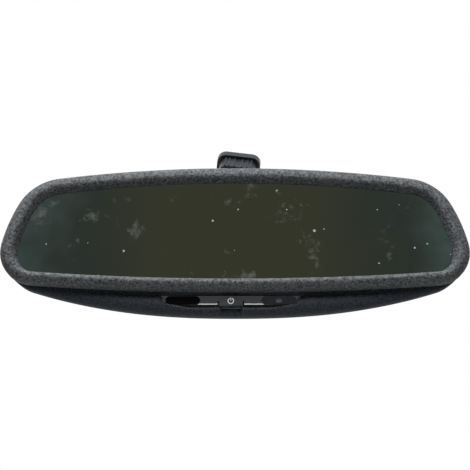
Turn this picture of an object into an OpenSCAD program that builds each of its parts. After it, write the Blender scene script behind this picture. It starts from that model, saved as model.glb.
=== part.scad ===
// Interior rearview mirror: a self-dimming mirror head on a double-ball arm and a windscreen foot.
// Millimetres. +Z is up, -Y faces the driver, and the origin is on the foot's seat, in the middle
// of its flat land above the channel for the windscreen button. The head's own modules use head coordinates: x = 0 is
// its middle, y = 0 its front glass, z = 0 the middle of the bezel, and y grows towards the back.

/* [Head outline] */
// Overall width of the bezel
head_w = 260; // [220:1:312]
// Height of the bezel, without the chin
head_h = 71; // [60:0.5:85]
// Radius of the bezel's gently crowned top edge
top_crown_r = 785; // [600:5:1200]
// Radius of the bezel's bottom edge
low_crown_r = 1600; // [1000:10:3000]
// Radius of the two leaning sides
side_r = 86; // [76:1:110]
// Radius of the upper corners
top_corner_r = 29; // [24:0.5:32]
// Radius of the lower corners
low_corner_r = 18.5; // [15:0.5:22]
// How far the upper corners stand in from the widest place
shoulder_in = 5.6; // [4:0.1:9]

/* [Bezel and housing] */
// Width of the bezel ring, from its edge to the glass
bezel_w = 8.5; // [7.8:0.1:10]
// How much wider the ring is at its two ends, as a share of its width
ring_end_more = 0.16; // [0:0.01:0.25]
// How much wider the ring is along its top, as a share of its width
ring_top_more = 0.05; // [0:0.01:0.1]
// How much narrower the ring is along its bottom, as a share of its width
ring_low_less = 0.2; // [0:0.01:0.25]
// How far the bezel's roll stands in front of the glass
bezel_proud = 4.6; // [3.5:0.1:6]
// Depth behind the glass at which the bezel meets the housing
split_y = 6; // [5.5:0.1:7]
// Thickness of the housing's moulded wall
wall = 2.2; // [1.8:0.1:2.5]
// Depth of the housing's dome at the middle
dome_mid = 25; // [24:0.5:31]
// Depth of the housing's dome at its two ends
dome_end = 10; // [8:0.5:14]
// How far the chin hangs below the bezel
chin_drop = 13; // [12:0.5:15.5]
// How far the chin's front bulges forward under the bezel
chin_bulge = 2.2; // [1:0.1:2.6]

/* [Mirror cell] */
// Thickness of each of the two glass plates
glass_t = 2; // [1.6:0.1:2.2]
// Gap between the plates, which the dimming gel fills
cell_gap = 0.4; // [0.3:0.05:0.5]
// How far the glass reaches under the bezel's lip
glass_under = 1.5; // [1.2:0.1:1.8]
// Thickness of the foam pad behind the glass
foam_t = 0.8; // [0.6:0.1:1]
// Thickness of the carrier plate
carrier_t = 2; // [1.6:0.1:2.4]

/* [Ball joints and arm] */
// Radius of both balls
ball_r = 7.5; // [6.5:0.25:9]
// Thickness of the nylon liners
liner_t = 1.2; // [1:0.1:1.5]
// Distance between the two ball centres
arm_l = 44; // [40:1:53]
// Elevation of the arm above the horizontal
arm_lean = 38; // [34:1:44]
// Radius of the arm's steel rod
rod_r = 2.9; // [2.6:0.1:3.2]
// Radius of the moulded sleeve on the rod
sleeve_r = 5; // [4.2:0.1:5.6]

/* [Windscreen foot] */
// Width of the foot's cover
foot_w = 27; // [26.6:0.2:34]
// Length of the foot's metal plate along the windscreen
plate_l = 34; // [32:0.5:40]
// Elevation of the seat's normal above the horizontal
seat_lean = 50; // [46:1:54]
// Roll of the foot in its ball joint, clockwise as the driver sees it
foot_roll = 7; // [0:1:9]
// Depth of the channel that takes the windscreen button
channel_d = 5; // [4.5:0.1:5.5]
// Width of that channel at its mouth
channel_w = 13; // [12:0.5:14]

/* [Chin controls] */
// Width of the power button
button_w = 13.4; // [11:0.2:15]
// Height of the power button
button_h = 5.2; // [4.4:0.1:5.5]
// How far the button stands in front of the chin
button_proud = 3; // [2:0.1:3.6]
// Distance of each oval window from the middle
window_x = 26.5; // [24:0.5:28]
// Width of each oval window
window_w = 19; // [15:0.5:20]
// Height of each oval window
window_h = 4.7; // [3.9:0.1:5.6]

/* [Hidden] */
$fn = 64;

fit = 0.05;          // radial clearance of a running or seated fit
gap = 0.2;           // clearance between moulded pieces
eps = 0.01;          // lets a cut run past a face

half_w = head_w / 2;
half_h = head_h / 2;

// Depths behind the front glass
seal_y = glass_t;
rear_glass_y = seal_y + cell_gap;
foam_y = rear_glass_y + glass_t;
carrier_y = foam_y + foam_t;
carrier_back = carrier_y + carrier_t;
post_back = carrier_back + 6.8;      // where the socket bracket stands on its posts
board_y = carrier_back + 8.8;        // front face of the circuit board
board_t = 1.6;
dome_y = split_y + 3;                // where the housing's straight rim ends and its dome starts

// Insets from the bezel's outer edge
lip_in = bezel_w;
glass_in = bezel_w - glass_under;
pocket_in = glass_in - 0.6;
pocket_wall = 1.6;
tongue_out = 2.3;
tongue_in = 3.7;
skin_in = 0.4;                       // the housing stands in from the bezel by this
rim_in = 1;

// Chin
chin_half = half_w - 6;
chin_face = split_y;
control_x = -2.3;                    // the controls sit a little left of the middle
panel_top = -half_h - 1.4;
panel_h = 7.4;
panel_half = 39;
panel_t = 1.5;
panel_proud = 0.3;
window_z = panel_top - 0.4 - window_h / 2;
button_z = panel_top - 1.3 - button_h / 2;
button_travel = 0.8;
button_flange = 0.8;
chin_wall = 2;
chin_wall_back = chin_face + chin_wall;

// Circuit board
board_half = 58;
board_top = -half_h + 31;
board_low = -half_h + 1.5;
board_tab = -half_h - 0.64 * chin_drop; // the board's tab hangs into the chin
board_tab_half = 31;
board_back = board_y + board_t;
board_post_x = board_half - 6;
board_post_z = [board_top - 5, board_low + 9];
port_x = 38;
port_z = -half_h + 21;
port_w = 18;
port_h = 9;
port_wall = 1;
ambient_x = -40;
ambient_r = 2.4;

// Ball joints, in head coordinates for the lower one
liner_in = ball_r + fit;
liner_out = liner_in + liner_t;
socket_r = liner_out + 0.1;
ring_r = socket_r + 1.55;
cup_r = ring_r + fit + 1.35;
open_angle = 58;                     // half-angle of the mouth that a socket leaves round the rod
ring_l = socket_r * cos(open_angle);
liner_cut = liner_in * cos(56) + 0.1;
spigot_r = rod_r - 0.4;
ball_flat = sqrt(ball_r * ball_r - rod_r * rod_r);
clip_t = 0.8;
clip_at = ball_r * 0.56;             // depth of the ball's clip recess from its centre
clip_r = ball_r * 0.5;
cup_l = socket_r + 1.6;
socket_y = dome_y + dome_mid - 5;
socket_z = half_h - 21;

// Directions
arm_dir = [0, cos(arm_lean), sin(arm_lean)];
seat_h = cup_l + channel_d + 2.15;     // from the seat face to the upper ball's centre
channel_top = 8;                     // the channel starts this far above the ball's axis
plate_back = plate_l / 2 - 1;        // from the ball's axis to the plate's upper end
land = (plate_back + channel_top) / 2; // from the origin down to the ball's axis
upper_ball_at = foot_at([0, land, -seat_h]);
lower_ball_at = upper_ball_at - arm_l * arm_dir;
head_at = lower_ball_at - [0, socket_y, socket_z];

// A point of the foot, brought from the foot's coordinates to the part's
function foot_at(p) =
    let (
        a = seat_lean - 90,
        y = p[1] * cos(a) - p[2] * sin(a),
        z = p[1] * sin(a) + p[2] * cos(a)
    )
    [p[0] * cos(foot_roll) + z * sin(foot_roll), y, z * cos(foot_roll) - p[0] * sin(foot_roll)];

// Outline of the bezel: five tangent arcs on each half
side_steps = 4;
corner_steps = 7;
crown_steps = 7;
corner_top = let (x = half_w - shoulder_in - top_corner_r)
    [x, half_h - top_crown_r + sqrt(pow(top_crown_r - top_corner_r, 2) - x * x)];
corner_low = let (x = half_w - low_corner_r)
    [x, -half_h + low_crown_r - sqrt(pow(low_crown_r - low_corner_r, 2) - x * x)];
crown_top = [0, half_h - top_crown_r];
crown_low = [0, -half_h + low_crown_r];
side_mid = meet(corner_top, side_r - top_corner_r, corner_low, side_r - low_corner_r);

// The inner meeting point of a circle round a and one round b
function meet(a, ra, b, rb) =
    let (
        d = norm(b - a),
        e = (b - a) / d,
        t = (ra * ra - rb * rb + d * d) / (2 * d),
        h = sqrt(ra * ra - t * t)
    )
    a + e * t + h * [e[1], -e[0]];

function bearing(from, to) = atan2(to[1] - from[1], to[0] - from[0]);

// The bezel ring is wider at its ends and along its top than along its bottom
function inset_share(a) =
    1 + ring_end_more * pow(cos(a), 2) + (sin(a) > 0 ? ring_top_more : -ring_low_less) * pow(sin(a), 2);

// Points along an arc, moved in by d, each with its outward normal: [x, z, nx, nz]
function arc_points(c, r, a0, a1, steps, d) =
    [for (k = [0 : steps - 1]) let (a = a0 + (a1 - a0) * k / steps, q = r - d * inset_share(a))
        [c[0] + q * cos(a), c[1] + q * sin(a), cos(a), sin(a)]];

// Right half of the outline, from the top middle to just before the bottom middle, moved in by d
function half_outline(d) =
    let (
        a1 = bearing(crown_top, corner_top),
        a2 = bearing(side_mid, corner_top),
        a3 = bearing(side_mid, corner_low),
        a4 = bearing(crown_low, corner_low)
    )
    concat(
        arc_points(crown_top, top_crown_r, 90, a1, crown_steps, d),
        arc_points(corner_top, top_corner_r, a1, a2, corner_steps, d),
        arc_points(side_mid, side_r, a2, a3, side_steps, d),
        arc_points(corner_low, low_corner_r, a3, a4, corner_steps, d),
        arc_points(crown_low, low_crown_r, a4, -90, crown_steps, d)
    );

function outline(d) =
    let (h = half_outline(d), n = len(h))
    concat(
        h, [[0, -half_h + d * inset_share(-90), 0, -1]],
        [for (i = [n - 1 : -1 : 1]) [-h[i][0], h[i][1], -h[i][2], h[i][3]]]
    );

module outline_2d(d) {
    polygon([for (p = outline(d)) [p[0], p[1]]]);
}

// One ring of the outline at depth y. A share of the chin hangs from its lower side, where the
// ring also comes forward by the bulge.
function ring(d, y, chin = 0, bulge = 0) =
    [for (p = outline(d)) let (drop = chin_at(p))
        [p[0], y - bulge * pow(drop / chin_drop, 2), p[1] - chin * drop]];

// How far the chin drops below a point of the outline
function chin_at(p) =
    chin_drop * max(0, 1 - pow(abs(p[0]) / chin_half, 2.6)) * pow(max(0, -p[3]), 1.5);

function dome_depth(x) = dome_end + (dome_mid - dome_end) * (1 - pow(x / half_w, 2));

// One ring of the dome at angle phi: 0 is the straight rim, 90 is the spine along its back
function dome_ring(d, y, cut, phi) =
    [for (p = outline(d)) let (
        low = max(0, -p[3]),
        e = 2 / (2.2 + low),
        g = pow(cos(phi), e),
        s = pow(sin(phi), e),
        z0 = p[1] - chin_at(p),
        spine_x = max(-half_w + 40, min(half_w - 40, p[0] * 0.86)),
        spine_z = 4,
        x = spine_x + (p[0] - spine_x) * g
    )
    [x, y + (dome_depth(x) - cut) * s, spine_z + (z0 - spine_z) * g]];

// A solid through a list of rings, each with the same number of points. closed joins the last ring
// to the first; otherwise each end is capped by a strip that pairs its upper and lower points.
module loft(rings, closed = false) {
    n = len(rings[0]);
    m = len(rings);
    points = [for (r = rings) each r];
    last = closed ? m - 1 : m - 2;
    walls = [for (k = [0 : last], i = [0 : n - 1])
        let (a = k * n, b = ((k + 1) % m) * n, j = (i + 1) % n)
        each [[a + i, b + j, b + i], [a + i, a + j, b + j]]];
    // A cap's strip runs from the right end of the ring to its left end
    q = n / 4;
    up = [for (i = [0 : n / 2]) (q - i + n) % n];
    down = [for (i = [0 : n / 2]) (q + i) % n];
    strip = [for (i = [0 : n / 2 - 1])
        each concat(
            i == 0 ? [] : [[up[i], down[i], down[i + 1]]],
            i == n / 2 - 1 ? [] : [[up[i], down[i + 1], up[i + 1]]]
        )];
    first_cap = closed ? [] : [for (t = strip) [t[0], t[2], t[1]]];
    last_cap = closed ? [] : [for (t = strip) [for (v = t) v + (m - 1) * n]];
    polyhedron(points = points, faces = concat(walls, first_cap, last_cap), convexity = 8);
}

// Extrudes a drawing in x and z from depth y0 to y1
module slab(y0, y1) {
    translate([0, y1, 0]) rotate([90, 0, 0]) linear_extrude(y1 - y0) children();
}

module y_cylinder(x, z, y0, y1, r) {
    translate([x, y0, z]) rotate([-90, 0, 0]) cylinder(r = r, h = y1 - y0);
}

module rounded_square(w, h, r) {
    offset(r) square([w - 2 * r, h - 2 * r], center = true);
}

module in_head() {
    translate(head_at) children();
}

// Turns +Z to the arm's direction at one of the two balls
module on_arm(at) {
    translate(at) rotate([arm_lean - 90, 0, 0]) children();
}

module in_foot() {
    rotate([seat_lean - 90, foot_roll, 0]) translate([0, land, 0]) children();
}

// ---- Bezel and mirror cell ----

module bezel() {
    // The section's [inset, depth] points, from the outer wall over the roll to the lip and back
    section = [
        [0, split_y], [0, 1], [0.5, -1.3], [1.7, -bezel_proud + 1.2], [3.4, -bezel_proud + 0.2],
        [5, -bezel_proud], [6.3, -bezel_proud + 0.5], [7.2, -bezel_proud + 1.5], [lip_in, -0.6],
        [lip_in, 0], [pocket_in, 0], [pocket_in, carrier_back - 0.6],
        [pocket_in - pocket_wall, carrier_back - 0.6], [pocket_in - pocket_wall, -1.4],
        [tongue_out - 0.2, -1.4], [tongue_out - 0.2, split_y]
    ];
    color("#34373a") in_head() loft([for (s = section) ring(s[0], s[1])], closed = true);
}

module front_glass() {
    color("#2c2f28") in_head() slab(0, glass_t) outline_2d(glass_in);
}

module rear_glass() {
    color("#8f9694") in_head() slab(rear_glass_y, rear_glass_y + glass_t) outline_2d(glass_in);
}

module cell_seal() {
    color("#1c1f1e") in_head() slab(seal_y, rear_glass_y) difference() {
        outline_2d(glass_in + 1);
        outline_2d(glass_in + 2.6);
    }
}

// A sprung clip on the top and on the bottom edge of the rear glass
module bus_clips() {
    clip_half = 22;
    leaf = 0.2;
    color("#b9a36a") in_head() for (side = [-1, 1]) intersection() {
        translate([-clip_half, -1, side > 0 ? 0 : -head_h]) cube([2 * clip_half, 20, head_h]);
        union() {
            slab(rear_glass_y - leaf - 0.1, foam_y + foam_t) difference() {
                outline_2d(glass_in - fit - 0.35);
                outline_2d(glass_in - fit);
            }
            slab(rear_glass_y - leaf - 0.1, rear_glass_y - 0.1) difference() {
                outline_2d(glass_in - fit - 0.35);
                outline_2d(glass_in + 0.8);
            }
            slab(foam_y + 0.1, foam_y + 0.1 + leaf) difference() {
                outline_2d(glass_in - fit - 0.35);
                outline_2d(glass_in + 1.8);
            }
        }
    }
}

module foam_pad() {
    color("#55585a") in_head() slab(foam_y, carrier_y) outline_2d(glass_in + 2.4);
}

// Posts that stand on the carrier's back: [x, z, end depth, radius, screw hole radius]
bracket_half = 21;
bracket_post_z = [socket_z - 13, socket_z + 11];
house_screw_x = half_w - 42;
house_screw_z = 3;
house_boss_y = dome_y + 0.985 * dome_depth(house_screw_x) - wall / 2;
house_seat_y = house_boss_y - 5;
posts = concat(
    [for (x = [-board_post_x, board_post_x], z = board_post_z) [x, z, board_y, 3, 1.1]],
    [for (x = [-bracket_half, bracket_half], z = bracket_post_z) [x, z, post_back, 3.4, 1.5]],
    [for (x = [-house_screw_x, house_screw_x]) [x, house_screw_z, house_seat_y - 6, 4, 1.5]]
);

module carrier_plate() {
    color("#2b2d2f") in_head() difference() {
        union() {
            slab(carrier_y, carrier_back) outline_2d(pocket_in + gap);
            for (p = posts) y_cylinder(p[0], p[1], carrier_back - 0.5, p[2], p[3]);
        }
        for (p = posts) y_cylinder(p[0], p[1], carrier_y + 1, p[2] + eps, p[4] + 0.02);
    }
}

// ---- Rear housing and chin ----

phis = [0, 12, 24, 36, 48, 60, 71, 80];

module shell() {
    outer = [for (k = [len(phis) - 1 : -1 : 0]) dome_ring(skin_in, dome_y, 0, phis[k])];
    lead = [
        ring(skin_in, split_y + 1.3, 0.93, chin_bulge * 0.5),
        ring(skin_in, split_y + 0.5, 0.8, chin_bulge * 0.85),
        ring(skin_in, split_y + 0.1, 0.6, chin_bulge), ring(skin_in, split_y, 0.35, chin_bulge * 0.85),
        ring(skin_in, split_y, 0.17), ring(rim_in, split_y), ring(tongue_out, split_y),
        ring(tongue_out, split_y - 3), ring(tongue_in, split_y - 3),
        ring(tongue_in, chin_wall_back), ring(skin_in + wall, chin_wall_back, 0.97)
    ];
    inner = [for (phi = phis) dome_ring(skin_in + wall, dome_y + 1, 1 + wall, phi)];
    loft(concat(outer, lead, inner));
}

module panel_2d(grow = 0) {
    translate([control_x, 0]) offset(r = 0.6 + grow) offset(delta = -0.6) polygon([
        [-panel_half, panel_top], [panel_half, panel_top], [panel_half - 3, panel_top - panel_h + 2.4],
        [panel_half - 16, panel_top - panel_h], [-panel_half + 16, panel_top - panel_h],
        [-panel_half + 3, panel_top - panel_h + 2.4]
    ]);
}

module window_2d(grow = 0) {
    r = window_h / 2;
    hull() for (side = [-1, 1]) translate([side * (window_w / 2 - r), 0]) circle(r + grow, $fn = 32);
}

module button_2d(grow = 0) {
    arch = button_w * 0.9;
    translate([control_x, button_z]) intersection() {
        offset(r = grow) square([button_w, button_h], center = true);
        translate([0, button_h / 2 - arch]) circle(arch + grow, $fn = 96);
    }
}

module rear_housing() {
    vent_l = 13;
    vent_pitch = 4;
    color("#2e3133") in_head() difference() {
        union() {
            shell();
            for (side = [-1, 1])
                y_cylinder(side * house_screw_x, house_screw_z, house_seat_y - 6, house_boss_y, 5);
        }
        // Mouth round the ball socket
        on_arm([0, socket_y, socket_z]) translate([0, 0, -cup_l - 1]) cylinder(r = cup_r + 0.5, h = 50);
        // Seat and openings for the chin's panel, windows and button
        slab(chin_face - 4, chin_face - panel_proud + panel_t) panel_2d(gap / 2);
        for (side = [-1, 1]) slab(chin_face - 4, chin_wall_back + 1)
            translate([control_x + side * window_x, window_z]) window_2d(0.1);
        slab(chin_face - 4, chin_wall_back + 1) button_2d(gap + 0.05);
        translate([control_x - button_w / 2 + 0.6, chin_face - 4, button_z - button_h / 2 - 6])
            cube([button_w - 1.2, 5.2, 7]);
        // Connector port and the ambient sensor's light pipe
        translate([port_x - port_w / 2 - gap, board_back + 4, port_z - port_h / 2 - gap])
            cube([port_w + 2 * gap, 30, port_h + 2 * gap]);
        y_cylinder(ambient_x, port_z, board_back + 4, board_back + 30, ambient_r + fit);
        // Screw wells
        for (side = [-1, 1]) {
            y_cylinder(side * house_screw_x, house_screw_z, house_seat_y, house_seat_y + 30, 3.3);
            y_cylinder(side * house_screw_x, house_screw_z, house_seat_y - 10, house_seat_y + 1, 1.6);
        }
        // Vent slots high on the back
        for (side = [-1, 1], k = [0 : 4])
            translate([side * (36 + k * vent_pitch) - 0.8, dome_y + 4, half_h - 24]) cube([1.6, 30, vent_l]);
    }
}

module chin_panel() {
    color("#101214") in_head() slab(chin_face - panel_proud, chin_face - panel_proud + panel_t) difference() {
        panel_2d();
        for (side = [-1, 1]) translate([control_x + side * window_x, window_z]) window_2d(0.1);
        button_2d(gap);
    }
}

// An oval window that plugs into the panel, with a foot that bears on the back of the chin's wall
module window_lens() {
    slab(chin_face - panel_proud + 0.2, chin_wall_back) window_2d();
    slab(chin_wall_back, chin_wall_back + 0.8) window_2d(0.5);
}

module glare_window() {
    color("#0a0b0d") in_head() translate([control_x - window_x, 0, window_z]) window_lens();
}

module indicator_window() {
    color("#1c2024") in_head() translate([control_x + window_x, 0, window_z]) window_lens();
}

// ---- Power button: these move together ----

button_front = chin_face - button_proud;
flange_y = chin_wall_back + 0.3;
switch_t = 1.7;
switch_front = board_y - switch_t;
plunger_y = switch_front - button_travel - 0.3;
switch_z = button_z;

module power_button() {
    color("#26292c") in_head() difference() {
        union() {
            slab(button_front, flange_y + eps) button_2d();
            slab(flange_y, flange_y + 1) button_2d(button_flange);
            y_cylinder(control_x, switch_z, flange_y + 0.9, plunger_y, 1.5);
        }
        slab(button_front - 1, button_front + 0.3) translate([control_x, button_z + 0.3]) symbol_2d(0.05);
    }
}

// The standby sign: a broken ring with a bar in the break
module symbol_2d(grow = 0) {
    sign_r = 1.5;
    stroke = 0.42 + 2 * grow;
    difference() {
        circle(sign_r + stroke / 2);
        circle(sign_r - stroke / 2);
        translate([-0.55 + grow, 0]) square([1.1 - 2 * grow, 4]);
    }
    translate([-stroke / 2, 0.2 - grow]) square([stroke, 1.8 + 2 * grow]);
}

module button_symbol() {
    color("#e8ebea") in_head() slab(button_front, button_front + 0.3)
        translate([control_x, button_z + 0.3]) symbol_2d();
}

module switch_plunger() {
    color("#d9dcda") in_head() y_cylinder(control_x, switch_z, plunger_y, switch_front + 0.5, 1.5);
}

// ---- Electronics ----

module tact_switch() {
    color("#8f9498") in_head() difference() {
        translate([control_x - 3, switch_front, switch_z - 2]) cube([6, switch_t, 4.4]);
        y_cylinder(control_x, switch_z, switch_front - 1, switch_front + 1.5, 1.5 + fit);
    }
}

module circuit_board() {
    color("#1f5a3a") in_head() difference() {
        slab(board_y, board_back) union() {
            translate([0, (board_top + board_low) / 2])
                square([2 * board_half, board_top - board_low], center = true);
            translate([0, (board_low + board_tab) / 2 + 0.5])
                square([2 * board_tab_half, board_low - board_tab + 1], center = true);
        }
        for (x = [-board_post_x, board_post_x], z = board_post_z)
            y_cylinder(x, z, board_y - 1, board_back + 1, 1.25);
    }
}

// The glare sensor and the indicator lamp look forward through the chin's windows
module glare_sensor() {
    color("#2a2c30") in_head() {
        translate([control_x - window_x - 2.5, board_y - 1.6, window_z - 1.8]) cube([5, 1.6, 3.6]);
        y_cylinder(control_x - window_x, window_z, board_y - 3.4, board_y - 1.6, 1.7);
    }
}

module indicator_led() {
    color("#9fb8a4") in_head() {
        y_cylinder(control_x + window_x, window_z, board_y - 0.8, board_y, 1.8);
        y_cylinder(control_x + window_x, window_z, board_y - 3.6, board_y - 0.8, 1.5);
        translate([control_x + window_x, board_y - 3.6, window_z]) sphere(1.5);
    }
}

module controller_chip() {
    color("#17181a") in_head() {
        translate([-16, board_back, port_z - 5]) cube([10, 1.4, 10]);
        for (k = [0 : 6], side = [-1, 1])
            translate([-11 + side * 5.6 - 0.6, board_back, port_z - 4.2 + k * 1.3]) cube([1.2, 0.4, 0.5]);
    }
}

module capacitor() {
    color("#3a4450") in_head() y_cylinder(8, port_z, board_back, board_back + 7, 4);
}

module board_passives() {
    color("#b08d57") in_head() for (k = [0 : 5])
        translate([-36 + k * 4, board_back, board_low + 3]) cube([2, 0.8, 1.2]);
}

port_back = board_back + 11;
pin_floor = board_back + 3;

module connector_header() {
    color("#2b2e30") in_head() difference() {
        translate([port_x - port_w / 2, board_back, port_z - port_h / 2])
            cube([port_w, port_back - board_back, port_h]);
        translate([port_x - port_w / 2 + port_wall, pin_floor, port_z - port_h / 2 + port_wall])
            cube([port_w - 2 * port_wall, 20, port_h - 2 * port_wall]);
        for (p = pin_places) translate([p[0] - 0.32, board_back - 1, p[1] - 0.32]) cube(0.64 * [1, 10, 1]);
    }
}

pin_places = [for (k = [0 : 4], side = [-1, 1]) [port_x + (k - 2) * 2.54, port_z + side * 1.27]];

module connector_pins() {
    color("#c9b37a") in_head() for (p = pin_places)
        translate([p[0] - 0.32, board_back, p[1] - 0.32]) cube([0.64, 7, 0.64]);
}

module ambient_sensor() {
    color("#2a2c30") in_head() y_cylinder(ambient_x, port_z, board_back, board_back + 2, 2.5);
}

module ambient_lens() {
    pipe_l = 11.5;
    color("#c8ccc8") in_head() {
        y_cylinder(ambient_x, port_z, board_back + 2.3, board_back + 2.3 + pipe_l, ambient_r);
        y_cylinder(ambient_x, port_z, board_back + 2.3, board_back + 3.3, ambient_r + 1);
    }
}

// A pan-head screw along +Y whose head's underside is at y, with a cross recess
module y_screw(x, z, y, shank_r, shank_l, head_r, head_l) {
    difference() {
        union() {
            y_cylinder(x, z, y - shank_l, y + eps, shank_r);
            y_cylinder(x, z, y, y + head_l, head_r);
        }
        for (turn = [0, 90]) translate([x, y + head_l, z]) rotate([0, turn, 0])
            cube([head_r * 1.2, head_l, head_r * 0.28], center = true);
    }
}

module board_screws() {
    color("#b8bcc0") in_head() for (x = [-board_post_x, board_post_x], z = board_post_z)
        y_screw(x, z, board_back, 1.1, 6.5, 2.2, 1.3);
}

module housing_screws() {
    color("#55595c") in_head() for (side = [-1, 1])
        y_screw(side * house_screw_x, house_screw_z, house_seat_y, 1.5, 12, 3, 2);
}

// ---- Lower ball joint ----

bracket_t = 2.5;

module socket_bracket() {
    rib = 3;
    color("#8c9196") in_head() difference() {
        union() {
            slab(post_back, post_back + bracket_t)
                translate([0, (bracket_post_z[0] + bracket_post_z[1]) / 2])
                rounded_square(2 * bracket_half + 8, bracket_post_z[1] - bracket_post_z[0] + 8, 3);
            on_arm([0, socket_y, socket_z]) translate([0, 0, -cup_l]) cylinder(r = cup_r, h = cup_l + ring_l);
            for (side = [-1, 1]) translate([side * (cup_r - 2) - rib / 2, post_back + 1, socket_z - 12])
                cube([rib, 8, 20]);
        }
        on_arm([0, socket_y, socket_z]) {
            sphere(socket_r);
            cylinder(r = ring_r + fit, h = 20);
        }
        for (x = [-bracket_half, bracket_half], z = bracket_post_z)
            y_cylinder(x, z, post_back - 1, post_back + 4, 1.6);
    }
}

module bracket_screws() {
    color("#b8bcc0") in_head() for (x = [-bracket_half, bracket_half], z = bracket_post_z)
        y_screw(x, z, post_back + bracket_t, 1.5, 8, 2.8, 1.8);
}

// The threaded ring that closes a socket over the liner, mouth along +Z, with two spanner holes
module socket_ring() {
    difference() {
        cylinder(r = ring_r, h = ring_l);
        sphere(socket_r);
        for (side = [-1, 1]) translate([side * (ring_r - 1), 0, ring_l - 1.4]) cylinder(r = 0.55, h = 3);
    }
}

// A nylon shell round the ball, open along +Z and slit on one side
module ball_liner() {
    difference() {
        sphere(liner_out);
        sphere(liner_in);
        translate([-20, -20, liner_cut]) cube(40);
        translate([-0.5, 0, -20]) cube([1, 20, 40]);
    }
}

// The ball's bore runs through it along Z. Its clip recess is on the -Z side.
module ball() {
    difference() {
        sphere(ball_r);
        translate([0, 0, -20]) cylinder(r = spigot_r + fit, h = 40);
        translate([-20, -20, ball_flat]) cube(40);
        translate([0, 0, -20]) cylinder(r = clip_r + 0.3, h = 20 - clip_at);
    }
}

module at_lower_ball() {
    on_arm(lower_ball_at) children();
}

// Seen from the upper ball, the arm leaves along -Z, so its pieces are turned over
module at_upper_ball() {
    on_arm(upper_ball_at) rotate([180, 0, 0]) children();
}

module lower_ring() {
    color("#6f7478") at_lower_ball() socket_ring();
}

module lower_liner() {
    color("#e6e2d6") at_lower_ball() ball_liner();
}

module lower_ball() {
    color("#a9adb0") at_lower_ball() ball();
}

// ---- Arm ----

module arm_rod() {
    shoulder = ball_flat + fit;
    spigot_l = clip_at + clip_t + 0.5;
    color("#9aa0a4") at_lower_ball() union() {
        translate([0, 0, -spigot_l]) cylinder(r = spigot_r, h = arm_l + 2 * spigot_l);
        translate([0, 0, shoulder]) cylinder(r = rod_r, h = arm_l - 2 * shoulder);
    }
}

module arm_sleeve() {
    start = cup_r + 2;
    soft = 1.2;
    color("#2c2f31") at_lower_ball() rotate_extrude() polygon([
        [rod_r + fit, start], [sleeve_r - soft, start], [sleeve_r, start + soft],
        [sleeve_r, arm_l - start - soft], [sleeve_r - soft, arm_l - start], [rod_r + fit, arm_l - start]
    ]);
}

module clip() {
    translate([0, 0, -clip_at - fit - clip_t]) difference() {
        cylinder(r = clip_r, h = clip_t);
        translate([0, 0, -1]) cylinder(r = spigot_r, h = clip_t + 2);
    }
}

module ball_clips() {
    color("#74797d") {
        at_lower_ball() clip();
        at_upper_ball() clip();
    }
}

module upper_ball() {
    color("#a9adb0") at_upper_ball() ball();
}

module upper_liner() {
    color("#e6e2d6") at_upper_ball() ball_liner();
}

// ---- Windscreen foot: its seat is z = 0, and +y runs down the windscreen from the ball's axis ----

plate_w = 20.4;
plate_front = plate_l / 2 + 1;
plate_t = channel_d + 3;
screw_y = plate_front - 4.2;
screw_r = 1.95;
boss_low = -seat_h - ring_l;
flange_t = 4.6;
cover_top = -0.6;
cover_low = -seat_h + 2.5;
cover_wall = 1.2;
flange_grow = foot_w / 2 - plate_w / 2;

module plate_2d(grow = 0) {
    translate([0, (plate_front - plate_back) / 2])
        rounded_square(plate_w + 2 * grow, plate_l + 2 * grow, 4 + grow / 2);
}

module channel() {
    undercut = 1.3;
    translate([0, -channel_top, 0]) rotate([-90, 0, 0]) linear_extrude(60) polygon([
        [-channel_w / 2, -eps], [channel_w / 2, -eps],
        [channel_w / 2 + undercut, channel_d], [-channel_w / 2 - undercut, channel_d]
    ]);
}

module foot_bracket() {
    color("#777c80") in_foot() difference() {
        union() {
            translate([0, 0, -plate_t]) linear_extrude(plate_t) plate_2d();
            translate([0, 0, boss_low]) cylinder(r = cup_r, h = -boss_low - plate_t + 1);
            translate([0, screw_y, -plate_t - 5]) cylinder(r = 3.6, h = 6);
        }
        channel();
        translate([0, 0, -seat_h]) {
            sphere(socket_r);
            mirror([0, 0, 1]) cylinder(r = ring_r + fit, h = 20);
        }
        translate([0, screw_y, -plate_t - 6]) cylinder(r = screw_r + fit, h = 20);
    }
}

module upper_ring() {
    color("#6f7478") in_foot() translate([0, 0, -seat_h]) rotate([180, 0, 0]) socket_ring();
}

module set_screw() {
    screw_l = plate_t + 4 - channel_d;
    color("#3c4043") in_foot() translate([0, screw_y, -plate_t - 4]) difference() {
        cylinder(r = screw_r, h = screw_l);
        translate([0, 0, -1]) cylinder(r = 1.15, h = 3.4, $fn = 6);
    }
}

module channel_liner() {
    color("#c2c6c9") in_foot() translate([-channel_w / 2, 0.5 - channel_top, -channel_d])
        cube([channel_w, screw_y + channel_top - 3.5, 0.4]);
}

module hollow_2d(grow = 0) {
    plate_2d(gap + grow);
    circle(cup_r + gap + grow);
    translate([0, screw_y]) circle(3.6 + gap + grow);
}

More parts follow.
